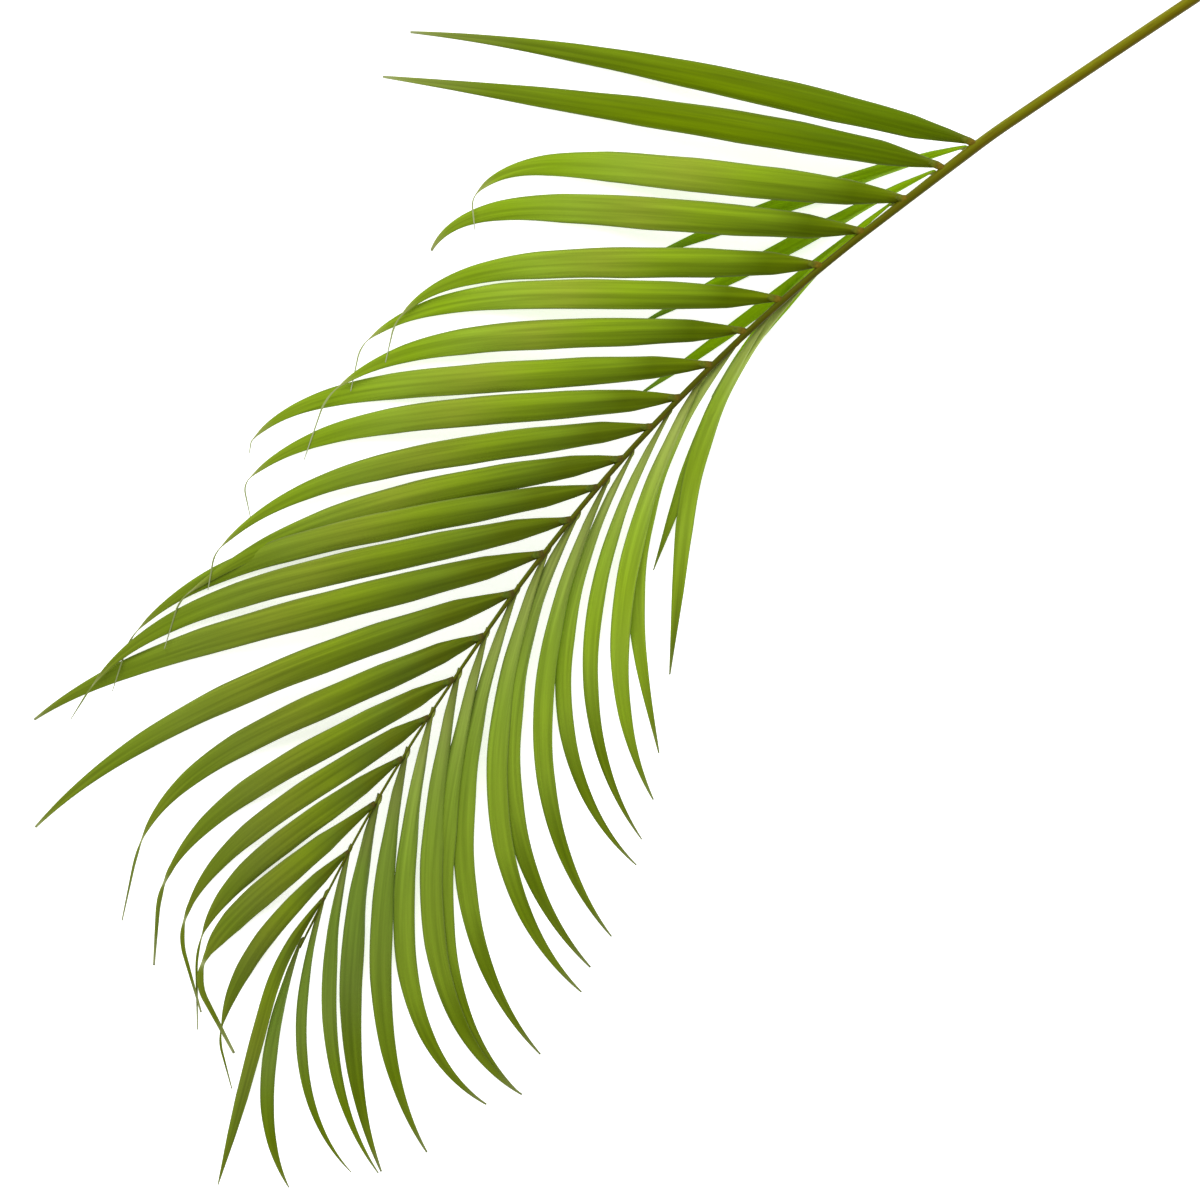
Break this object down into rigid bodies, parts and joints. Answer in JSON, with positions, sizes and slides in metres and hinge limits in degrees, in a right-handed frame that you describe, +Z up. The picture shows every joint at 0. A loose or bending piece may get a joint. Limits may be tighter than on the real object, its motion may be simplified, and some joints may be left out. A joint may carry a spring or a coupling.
{
  "type": "palm frond",
  "caption": "Feather-shaped areca palm frond: a slender arching stalk with long narrow leaflets in two rows, laid flat as cut foliage or decoration.",
  "frame": {"origin": "middle of the footprint on the table, at the height of the lowest points", "axes": "+X along the stalk from its cut end to the frond's tip, +Y towards the row of leaflets that curves back under the stalk's far side, +Z up from the table"},
  "size_m": [0.9512, 0.4518, 0.0446],
  "materials": {
    "palm_leaf": "fresh green leaf, satin"
  },
  "bodies": {
    "root": {"frond": "palm_leaf"}
  },
  "joints": []
}
